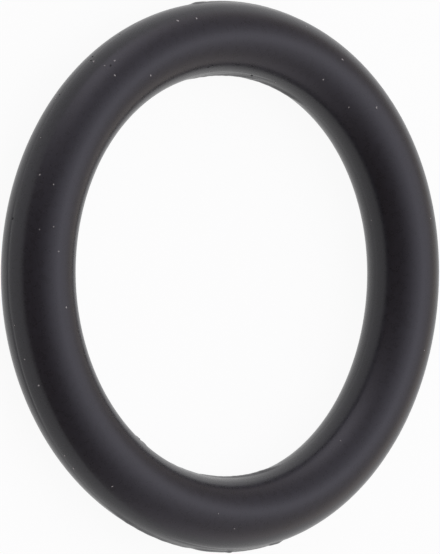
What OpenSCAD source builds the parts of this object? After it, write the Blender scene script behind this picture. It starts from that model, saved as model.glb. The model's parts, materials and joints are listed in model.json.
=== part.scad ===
// Moulded rubber O-ring.
// The ring lies flat: its axis is Z, and the origin is at its centre, on the parting plane of the mould.

/* [Ring] */
// Inner diameter of the ring, across the hole, without the flash
inner_d = 22; // [8:0.1:60]
// Section diameter, the thickness of the rubber
section_d = 4; // [2:0.01:7]

/* [Parting line] */
// Height at which the flash was trimmed, above the round section
flash_h = 0.06; // [0.02:0.01:0.14]
// Width of the flash land, along the ring's axis
flash_w = 0.14; // [0.06:0.01:0.3]
// Radius of the hollow fillet along each root of the flash
flash_root_r = 0.04; // [0.02:0.01:0.1]

/* [Look] */
// Colour of the rubber
rubber_colour = "#2b2b2f"; // ["#2b2b2f":black nitrile, "#5a3a26":brown fluorocarbon, "#9c3327":red silicone]

/* [Hidden] */

section_r = section_d / 2;
// Radius of the circle that the section's centre follows round the ring
pitch_r = inner_d / 2 + section_r;
// Distance from the section's centre to the trimmed crest of the flash
crest_reach = section_r + flash_h;
// A root fillet touches the section's circle and the side of the flash land
root_y = flash_w / 2 + flash_root_r;
root_x = sqrt((section_r + flash_root_r) ^ 2 - root_y ^ 2);

round_steps = 96;
ring_steps = 180;

// The rubber left where the mould halves met, on both sides of the section in one bar
module flash_lands() {
    square([2 * crest_reach, flash_w], center = true);
}

// One hollow fillet, in the upper outer corner between the section's circle and the flash land
module root_fillet() {
    difference() {
        polygon([[0, 0], [root_x, flash_w / 2], [root_x, root_y]]);
        translate([root_x, root_y]) circle(r = flash_root_r, $fn = round_steps);
    }
}

// The section, centred on the parting plane: a full circle with a flash land at each equator
module ring_section() {
    circle(r = section_r, $fn = round_steps);
    flash_lands();
    for (side = [0, 1], half = [0, 1]) {
        mirror([side, 0]) mirror([0, half]) root_fillet();
    }
}

module o_ring() {
    color(rubber_colour)
        rotate_extrude($fn = ring_steps)
            translate([pitch_r, 0]) ring_section();
}

o_ring();
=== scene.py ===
import json
import math
import random

import bmesh
import bpy
from mathutils import Matrix, Vector, noise


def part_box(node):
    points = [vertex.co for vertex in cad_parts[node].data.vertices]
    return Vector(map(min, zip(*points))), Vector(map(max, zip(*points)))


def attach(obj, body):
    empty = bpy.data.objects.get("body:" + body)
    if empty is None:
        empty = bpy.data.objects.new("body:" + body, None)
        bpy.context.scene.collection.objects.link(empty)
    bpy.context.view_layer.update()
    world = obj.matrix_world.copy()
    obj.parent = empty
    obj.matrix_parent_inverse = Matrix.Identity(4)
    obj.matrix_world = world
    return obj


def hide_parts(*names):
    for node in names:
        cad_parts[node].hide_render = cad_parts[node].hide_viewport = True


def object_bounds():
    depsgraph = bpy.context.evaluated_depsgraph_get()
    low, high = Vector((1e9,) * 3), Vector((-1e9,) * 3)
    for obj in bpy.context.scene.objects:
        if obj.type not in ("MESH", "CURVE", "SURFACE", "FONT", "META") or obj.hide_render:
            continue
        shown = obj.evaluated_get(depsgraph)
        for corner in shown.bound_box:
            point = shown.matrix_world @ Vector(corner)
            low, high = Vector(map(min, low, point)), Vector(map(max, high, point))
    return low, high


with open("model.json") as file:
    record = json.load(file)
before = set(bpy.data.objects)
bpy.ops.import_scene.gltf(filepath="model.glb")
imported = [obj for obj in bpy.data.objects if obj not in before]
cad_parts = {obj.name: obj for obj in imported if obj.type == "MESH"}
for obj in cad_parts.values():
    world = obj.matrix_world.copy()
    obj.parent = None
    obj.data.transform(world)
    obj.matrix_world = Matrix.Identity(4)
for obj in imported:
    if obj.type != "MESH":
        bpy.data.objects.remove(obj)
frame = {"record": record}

cad_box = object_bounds()

# Camera
# A long lens well away from the ring looks down on it. The picture is turned a quarter round, as in the
# photograph: its right side is the ring's far side, and its top is the ring's -X side.
MM = 0.001
PHOTO_WIDTH, PHOTO_HEIGHT = 440, 554
RING_CENTRE_PIXEL = Vector((224.26, 275.28))
PIXELS_PER_RING_RADIUS = 238.26
CAMERA_DISTANCE_IN_RING_RADII = 38
CAMERA_ELEVATION = math.radians(50)
CAMERA_ROLL = math.radians(0.43)
SENSOR_MM = 36

seats = {mount["name"]: mount["dims"]["r_mm"] * MM for mount in frame["record"]["mounts"]}
ring_radius = (seats["rod_seat"] + seats["housing_seat"]) / 2

to_camera = Vector((0, -math.cos(CAMERA_ELEVATION), math.sin(CAMERA_ELEVATION)))
roll = Matrix.Rotation(-CAMERA_ROLL, 3, to_camera)
photo_right = roll @ Vector((0, math.sin(CAMERA_ELEVATION), math.cos(CAMERA_ELEVATION)))
photo_up = roll @ Vector((-1, 0, 0))
metres_per_pixel = ring_radius / PIXELS_PER_RING_RADIUS
focal_pixels = PIXELS_PER_RING_RADIUS * CAMERA_DISTANCE_IN_RING_RADII
centre_right = (RING_CENTRE_PIXEL.x - PHOTO_WIDTH / 2) * metres_per_pixel
centre_up = (PHOTO_HEIGHT / 2 - RING_CENTRE_PIXEL.y) * metres_per_pixel
camera_place = (
    to_camera * ring_radius * CAMERA_DISTANCE_IN_RING_RADII
    - photo_right * centre_right
    - photo_up * centre_up
)

camera_data = bpy.data.cameras.new("ring_camera")
camera_data.sensor_width = SENSOR_MM
camera_data.lens = focal_pixels * SENSOR_MM / PHOTO_HEIGHT
camera_data.clip_start = 0.01
camera_data.clip_end = 20
camera = bpy.data.objects.new("ring_camera", camera_data)
camera_turn = Matrix((photo_right, photo_up, to_camera)).transposed()
camera.matrix_world = Matrix.Translation(camera_place) @ camera_turn.to_4x4()
bpy.context.scene.collection.objects.link(camera)
bpy.context.scene.camera = camera

# Moulded ring
# Black nitrile rubber, pressed and cured in a mould of two halves that meet on the ring's middle plane.
# The rubber squeezed out between them was trimmed off, which left the thin flash inside and outside.
section_radius = (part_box("o_ring")[1].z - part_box("o_ring")[0].z) / 2
SECTION_SIDES = 48
FLASH_ZONE = math.radians(31)
FLASH_CUTS = 4
RING_STEPS = 800
# Each stretch of flash has its first and last angle round the ring and the run in which it fades away, in
# degrees, then its height and how far it lies off the parting plane, in millimetres. Angle 0 is the
# photograph's bottom and 90 is the ring's far side.
OUTER_FLASH = [
    (-32, -9, 8, 0.056, -0.15),
    (-9, 13, 6, 0.088, 0.0),
    (-0.2, 1.4, 0.8, 0.12, 0.05),
    (10.5, 13.6, 1, 0.075, 0.36),
    (152, 176, 8, 0.035, 0.14),
    (171.5, 188, 1.5, 0.048, 0.03),
    (184.5, 188, 1.5, 0.078, 0.0),
]
INNER_FLASH = [
    (-36, -10, 8, 0.05, 0.1),
    (-11, 18, 8, 0.078, 0.0),
    (150, 174, 8, 0.068, -0.2),
    (168, 193, 8, 0.078, 0.0),
    (-36.6, -34.8, 0.8, 0.035, 0.85),
    (-39, -37.8, 0.6, 0.03, 0.9),
]
FLASH_FOOT = 0.36
FLASH_RAGGEDNESS = 0.25
FLASH_TEAR_LENGTH = math.radians(2)
OUTER_TEAR_PATTERN, INNER_TEAR_PATTERN = 10, 20
SHORTEST_FADE = 0.1
# Where the flash was torn off flush, a shallow groove is left, and another runs along the root of the flash
# that stayed on. The deepest ones are on the side towards the camera.
OUTER_GROOVE = [
    (-106, -80, 12, 0.019, -0.1),
    (-84, -57, 14, 0.021, -0.05),
    (-16, 13, 6, 0.016, 0.62),
    (-180, 180, 0, 0.005, 0.0),
]
INNER_GROOVE = [
    (164, 182, 6, 0.016, 0.5),
    (180, 196, 6, 0.016, 0.64),
    (-180, 180, 0, 0.004, 0.0),
]
GROOVE_HALF_WIDTH = 0.13
# Each is a count of waves round the ring, a height in millimetres and the angle of a crest in degrees.
OUT_OF_ROUND = [(3, 0.057, 12.3), (4, 0.018, 29)]
UNEVEN_SECTION = [(1, 0.007, 14), (2, 0.022, -52.5), (3, 0.006, 25.3)]


def beside_parting_plane(edge):
    """True for the edges of the round section that lie along one of the two flash lines."""
    highest = max(abs(vert.co.z) for vert in edge.verts)
    return highest < section_radius * math.sin(FLASH_ZONE)


def wave(waves, angle):
    """The sum, in metres, of some slow waves at an angle round the ring."""
    return sum(
        height * MM * math.cos(count * (angle - math.radians(crest))) for count, height, crest in waves
    )


def smooth_step(share):
    """0 at and below 0, 1 at and above 1, and an even curve between them."""
    share = min(max(share, 0), 1)
    return share * share * (3 - 2 * share)


def stretch_share(first, last, fade, angle):
    """1 within a stretch of the ring, 0 outside it, and an even fade at its ends."""
    middle, half = (first + last) / 2, (last - first) / 2
    away = abs((math.degrees(angle) - middle + 180) % 360 - 180)
    return smooth_step((half - away) / max(fade, SHORTEST_FADE) + 0.5)


def line_height(stretches, half_width, angle, height_off_plane):
    """The height, in metres, of the flash or the groove at one place of the section."""
    tallest = 0
    for first, last, fade, height, place in stretches:
        across = abs(height_off_plane - place * MM) / (half_width * MM)
        share = stretch_share(first, last, fade, angle) * smooth_step(1 - across)
        tallest = max(tallest, height * MM * share)
    return tallest


def flash_relief(angle, height_off_plane, outside):
    """How far the flash line stands out of the round section at one place, in metres."""
    flash, groove = (OUTER_FLASH, OUTER_GROOVE) if outside else (INNER_FLASH, INNER_GROOVE)
    pattern = OUTER_TEAR_PATTERN if outside else INNER_TEAR_PATTERN
    ragged = noise.noise(Vector((angle / FLASH_TEAR_LENGTH, pattern, 0)))
    raised = line_height(flash, FLASH_FOOT, angle, height_off_plane)
    sunk = line_height(groove, GROOVE_HALF_WIDTH, angle, height_off_plane)
    return raised * (1 + FLASH_RAGGEDNESS * ragged) - sunk


def skin_place(angle, turn):
    """A place on the skin, at an angle round the ring and one round its section, and the way it faces."""
    outward = Vector((math.cos(angle), math.sin(angle), 0))
    facing = outward * math.cos(turn) + Vector((0, 0, math.sin(turn)))
    reach = section_radius + wave(UNEVEN_SECTION, angle)
    height = section_radius * math.sin(turn)
    if abs(height) < section_radius * math.sin(FLASH_ZONE):
        reach += flash_relief(angle, height, math.cos(turn) > 0)
    return outward * (ring_radius + wave(OUT_OF_ROUND, angle)) + facing * reach, facing


ring_mesh = bmesh.new()
section = bmesh.ops.create_circle(ring_mesh, segments=SECTION_SIDES, radius=section_radius)
upright = Matrix.Rotation(math.radians(90), 4, "X")
bmesh.ops.transform(ring_mesh, matrix=upright, verts=section["verts"])
flash_edges = [edge for edge in ring_mesh.edges if beside_parting_plane(edge)]
bmesh.ops.subdivide_edges(ring_mesh, edges=flash_edges, cuts=FLASH_CUTS)
for vert in ring_mesh.verts:
    vert.co = vert.co.normalized() * section_radius
bmesh.ops.translate(ring_mesh, vec=(ring_radius, 0, 0), verts=ring_mesh.verts)
bmesh.ops.spin(
    ring_mesh,
    geom=ring_mesh.verts[:] + ring_mesh.edges[:],
    cent=(0, 0, 0),
    axis=(0, 0, 1),
    angle=math.tau,
    steps=RING_STEPS,
    use_merge=True,
)
for vert in ring_mesh.verts:
    angle = math.atan2(vert.co.y, vert.co.x)
    turn = math.atan2(vert.co.z, vert.co.xy.length - ring_radius)
    vert.co = skin_place(angle, turn)[0]
bmesh.ops.recalc_face_normals(ring_mesh, faces=ring_mesh.faces)
for face in ring_mesh.faces:
    face.smooth = True

moulded_ring_mesh = bpy.data.meshes.new("moulded_ring")
ring_mesh.to_mesh(moulded_ring_mesh)
ring_mesh.free()
moulded_ring = bpy.data.objects.new("moulded_ring", moulded_ring_mesh)
bpy.context.scene.collection.objects.link(moulded_ring)


def black_rubber():
    """Moulded nitrile rubber: near black, satin and a little mottled, with the fine grain of the mould."""
    material = bpy.data.materials.new("black_rubber")
    material.use_nodes = True
    nodes, links = material.node_tree.nodes, material.node_tree.links
    shader = nodes["Principled BSDF"]
    shader.inputs["IOR"].default_value = 1.45
    place = nodes.new("ShaderNodeTexCoord")
    mottle = nodes.new("ShaderNodeTexNoise")
    mottle.inputs["Scale"].default_value = 2600
    mottle.inputs["Detail"].default_value = 5
    mottle.inputs["Roughness"].default_value = 0.6
    shade = nodes.new("ShaderNodeValToRGB")
    shade.color_ramp.elements[0].position = 0.3
    shade.color_ramp.elements[0].color = (0.0133, 0.0127, 0.0174, 1)
    shade.color_ramp.elements[1].position = 0.7
    shade.color_ramp.elements[1].color = (0.0196, 0.019, 0.0256, 1)
    satin = nodes.new("ShaderNodeMapRange")
    satin.inputs["From Min"].default_value = 0.3
    satin.inputs["From Max"].default_value = 0.7
    satin.inputs["To Min"].default_value = 0.26
    satin.inputs["To Max"].default_value = 0.3
    grain = nodes.new("ShaderNodeTexNoise")
    grain.inputs["Scale"].default_value = 7000
    grain.inputs["Detail"].default_value = 4
    bump = nodes.new("ShaderNodeBump")
    bump.inputs["Strength"].default_value = 0.12
    bump.inputs["Distance"].default_value = 0.00001
    links.new(place.outputs["Object"], mottle.inputs["Vector"])
    links.new(mottle.outputs["Fac"], shade.inputs["Fac"])
    links.new(mottle.outputs["Fac"], satin.inputs["Value"])
    links.new(shade.outputs["Color"], shader.inputs["Base Color"])
    links.new(satin.outputs["Result"], shader.inputs["Roughness"])
    links.new(place.outputs["Object"], grain.inputs["Vector"])
    links.new(grain.outputs["Fac"], bump.inputs["Height"])
    links.new(bump.outputs["Normal"], shader.inputs["Normal"])
    return material


moulded_ring_mesh.materials.append(black_rubber())
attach(moulded_ring, "root")
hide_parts("o_ring")

# Dust
# Pale dust clings to the ring, and a few dark matt lumps sit on it. Some pale grains are painted
# highlights:
# glints on the ragged inner flash and on the rim of a small pit, and the dark lumps at small pits are
# painted shade of those pits. Each grain is a small uneven lump, half sunk in the skin. Its three numbers
# are its angle round the ring and its angle round the section, in degrees, and its size in millimetres. On
# the section 0 is outside and 90 is on top.
PALE_DUST_AND_HIGHLIGHTS = [
    (-46.4, 5, 0.105),
    (134.5, 89.5, 0.105),
    (-82.6, 95, 0.1),
    (-162.9, 41, 0.1),
    (149.3, 70, 0.09),
    (-140.2, 58, 0.09),
    (-140.8, 12.5, 0.1),
    (-148.1, 98, 0.085),
    (-50, 6, 0.09),
    (-167.6, 48, 0.09),
    (-66.9, 22, 0.085),
    (152, 117, 0.085),
    (-111.7, 31, 0.07),
    (-38.7, 40, 0.07),
    (-72.8, 11, 0.07),
    (162.5, 164.5, 0.065),
    (102.9, 70, 0.065),
    (-110.4, 56, 0.065),
    (-95.8, 82.5, 0.07),
    (-100.1, 49, 0.06),
    (140.3, 124, 0.065),
    (-4, 67, 0.06),
    (71.7, 73, 0.055),
    (-119.8, 8, 0.06),
    (160.4, 44, 0.06),
    # This grain and the one at -140.8 and 35 are painted highlights on the rim of the small pit at -141.6
    # and 42.
    (-143.2, 41, 0.085),
    (-9.8, 87, 0.055),
    (-140.8, 35, 0.06),
    (-101.2, 70, 0.06),
    (105.7, 178, 0.055),
    (37.9, 137, 0.055),
    (-151.1, -2, 0.09),
    (-130, -9, 0.1),
    (-129.6, -7, 0.065),
    (-80, 4, 0.065),
    (-171.9, 153, 0.065),
    (-171, 151, 0.055),
    (-173, 154, 0.055),
    (169, 179, 0.065),
    # The last three pale grains are painted glints: bright spots where the ragged inner flash catches the
    # light.
    (-38, 151, 0.07),
    (-36.1, 144.5, 0.06),
    (-34.3, 139, 0.06),
]
# Dark matt lumps. The four from -142.3 to -130.7 round the ring stand where the skin shows small pits, and
# their dark is painted shade of those pits. The others sit at other small dark spots.
DARK_LUMPS_AND_PIT_SHADE = [
    (-141.6, 42, 0.1),
    (-141, 5, 0.08),
    (-142.3, 0, 0.08),
    (-130.7, -4, 0.08),
    (-102, -2, 0.12),
    (-170.6, 135, 0.08),
    (-169.2, 137, 0.09),
    (171.1, 167, 0.12),
]
GRAIN_JITTER = 0.25
GRAIN_LENGTH = 1.5
GRAIN_FLATNESS = 0.6
POWDER_ROUGHNESS = 0.9
POWDER_SCALE = 30000
POWDER_DARKEST, POWDER_PALEST = 0.5, 1.5


def plain_matt(name, colour):
    """A dull powdery finish: one colour, lighter and darker in small patches."""
    material = bpy.data.materials.new(name)
    material.use_nodes = True
    nodes, links = material.node_tree.nodes, material.node_tree.links
    shader = nodes["Principled BSDF"]
    shader.inputs["Roughness"].default_value = POWDER_ROUGHNESS
    place = nodes.new("ShaderNodeTexCoord")
    powder = nodes.new("ShaderNodeTexNoise")
    powder.inputs["Scale"].default_value = POWDER_SCALE
    shade = nodes.new("ShaderNodeValToRGB")
    shade.color_ramp.elements[0].color = [part * POWDER_DARKEST for part in colour] + [1]
    shade.color_ramp.elements[1].color = [part * POWDER_PALEST for part in colour] + [1]
    links.new(place.outputs["Object"], powder.inputs["Vector"])
    links.new(powder.outputs["Fac"], shade.inputs["Fac"])
    links.new(shade.outputs["Color"], shader.inputs["Base Color"])
    return material


def add_grains(name, grains, material):
    """One piece made of small uneven lumps that lie on the ring's skin."""
    grain_mesh = bmesh.new()
    for ring_angle, section_angle, size in grains:
        place, facing = skin_place(math.radians(ring_angle), math.radians(section_angle))
        lump = bmesh.ops.create_icosphere(grain_mesh, subdivisions=2, radius=size * MM / 2)
        for vert in lump["verts"]:
            vert.co *= random.uniform(1 - GRAIN_JITTER, 1 + GRAIN_JITTER)
        shape = Matrix.Diagonal((random.uniform(1, GRAIN_LENGTH), 1, GRAIN_FLATNESS, 1))
        turn = Matrix.Rotation(random.uniform(0, math.tau), 4, "Z")
        upright = facing.to_track_quat("Z", "Y").to_matrix().to_4x4()
        lie = Matrix.Translation(place) @ upright @ turn @ shape
        bmesh.ops.transform(grain_mesh, matrix=lie, verts=lump["verts"])
    mesh = bpy.data.meshes.new(name)
    grain_mesh.to_mesh(mesh)
    grain_mesh.free()
    mesh.materials.append(material)
    piece = bpy.data.objects.new(name, mesh)
    bpy.context.scene.collection.objects.link(piece)
    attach(piece, "root")


random.seed(4)
add_grains("pale_dust_and_highlights", PALE_DUST_AND_HIGHLIGHTS, plain_matt("pale_dust_and_highlights", (0.4, 0.39, 0.38)))
# The dark lumps at small pits are painted pit shade.
add_grains("dark_lumps_and_pit_shade", DARK_LUMPS_AND_PIT_SHADE, plain_matt("dark_lump_and_pit_shade_matt", (0.02, 0.02, 0.022)))

# Light
# A studio with soft lights and no hard edges: high ones beyond the ring, strong ones beside it at the
# photograph's top, a weaker one at its bottom, and low ones beyond it whose upper halves show above the
# edge of the sheet. The side towards the camera is dim.
STUDIO_STRENGTH = 1.58
ROOM_COLOUR = (0.116, 0.096, 0.084)
LIGHT_ABOVE = (1.0, 1.0, 1.16)
LIGHT_BESIDE = (1.03, 1.0, 1.14)
LIGHT_BEYOND = (1.08, 1.0, 0.91)
# Each light is an azimuth and an elevation in degrees, how fast it fades, its strength and its colour.
# Azimuth 0 is the camera's side of the ring and 90 is the photograph's bottom.
SOFT_LIGHTS = [
    (-176, 63, 76, 0.37, LIGHT_ABOVE),
    (-171, 42, 35, 0.41, LIGHT_ABOVE),
    (-178, 72, 5.6, 0.77, LIGHT_ABOVE),
    (-80, 24, 21, 0.22, LIGHT_BESIDE),
    (-81, 2, 5.5, 0.9, LIGHT_BESIDE),
    (112, 8, 7.9, 0.4, LIGHT_BESIDE),
    (-128, -17, 8.6, 0.37, LIGHT_BEYOND),
    (164, -2, 5.5, 0.52, LIGHT_BEYOND),
    (138, -20, 10, 0.2, LIGHT_BEYOND),
]


def soft_lights(nodes, links, direction):
    """The colour seen along a direction: the room, and each light as a patch that fades with the angle."""
    total = nodes.new("ShaderNodeVectorMath")
    total.inputs[0].default_value = ROOM_COLOUR
    for azimuth, elevation, fading, strength, colour in SOFT_LIGHTS:
        around, up = math.radians(azimuth), math.radians(elevation)
        level = math.cos(up)
        aim = (math.sin(around) * level, -math.cos(around) * level, math.sin(up))
        facing = nodes.new("ShaderNodeVectorMath")
        facing.operation = "DOT_PRODUCT"
        facing.inputs[1].default_value = aim
        fade = nodes.new("ShaderNodeMath")
        fade.operation = "MULTIPLY_ADD"
        fade.inputs[1].default_value = fading
        fade.inputs[2].default_value = -fading
        patch = nodes.new("ShaderNodeMath")
        patch.operation = "EXPONENT"
        tint = nodes.new("ShaderNodeVectorMath")
        tint.operation = "SCALE"
        tint.inputs[0].default_value = [strength * part for part in colour]
        added = nodes.new("ShaderNodeVectorMath")
        links.new(direction, facing.inputs[0])
        links.new(facing.outputs["Value"], fade.inputs[0])
        links.new(fade.outputs[0], patch.inputs[0])
        links.new(patch.outputs[0], tint.inputs["Scale"])
        links.new(total.outputs[0], added.inputs[0])
        links.new(tint.outputs[0], added.inputs[1])
        total = added
    return total.outputs[0]


studio = bpy.data.worlds.new("soft_studio")
studio.use_nodes = True
studio_nodes = studio.node_tree.nodes
sky_direction = studio_nodes.new("ShaderNodeTexCoord").outputs["Generated"]
sky_colour = soft_lights(studio_nodes, studio.node_tree.links, sky_direction)
studio.node_tree.links.new(sky_colour, studio_nodes["Background"].inputs["Color"])
studio_nodes["Background"].inputs["Strength"].default_value = STUDIO_STRENGTH
bpy.context.scene.world = studio
bpy.context.scene.view_settings.view_transform = "Standard"

# Floor
# A wide plain white sheet on which the ring lies. It is white to the camera and in the ring's reflections,
# and keeps the ring's faint shadow.
FLOOR_HALF_SIZE = 1.5
FLOOR_COLOUR = (0.9, 0.9, 0.9, 1)
LIT_SHARE = 0.94


def white_sheet():
    """White paint, mostly lit from within for the camera, for reflections and for what is seen through."""
    material = bpy.data.materials.new("white_sheet")
    material.use_nodes = True
    nodes, links = material.node_tree.nodes, material.node_tree.links
    nodes.clear()
    paint = nodes.new("ShaderNodeBsdfDiffuse")
    paint.inputs["Color"].default_value = FLOOR_COLOUR
    rays = nodes.new("ShaderNodeLightPath")
    lit = nodes.new("ShaderNodeEmission")
    seen = nodes.new("ShaderNodeMath")
    seen.operation = "MAXIMUM"
    seen_or_passed = nodes.new("ShaderNodeMath")
    seen_or_passed.operation = "MAXIMUM"
    share = nodes.new("ShaderNodeMath")
    share.operation = "MULTIPLY"
    share.inputs[1].default_value = LIT_SHARE
    mix = nodes.new("ShaderNodeMixShader")
    output = nodes.new("ShaderNodeOutputMaterial")
    links.new(rays.outputs["Is Camera Ray"], seen.inputs[0])
    links.new(rays.outputs["Is Glossy Ray"], seen.inputs[1])
    links.new(seen.outputs[0], seen_or_passed.inputs[0])
    links.new(rays.outputs["Is Transmission Ray"], seen_or_passed.inputs[1])
    links.new(seen_or_passed.outputs[0], share.inputs[0])
    links.new(share.outputs[0], mix.inputs["Fac"])
    links.new(paint.outputs[0], mix.inputs[1])
    links.new(lit.outputs[0], mix.inputs[2])
    links.new(mix.outputs[0], output.inputs["Surface"])
    return material


floor_mesh = bmesh.new()
bmesh.ops.create_grid(floor_mesh, x_segments=1, y_segments=1, size=FLOOR_HALF_SIZE)
bmesh.ops.translate(floor_mesh, vec=(0, 0, cad_box[0].z), verts=floor_mesh.verts)
floor_data = bpy.data.meshes.new("floor")
floor_mesh.to_mesh(floor_data)
floor_mesh.free()
floor_data.materials.append(white_sheet())
floor = bpy.data.objects.new("floor", floor_data)
bpy.context.scene.collection.objects.link(floor)
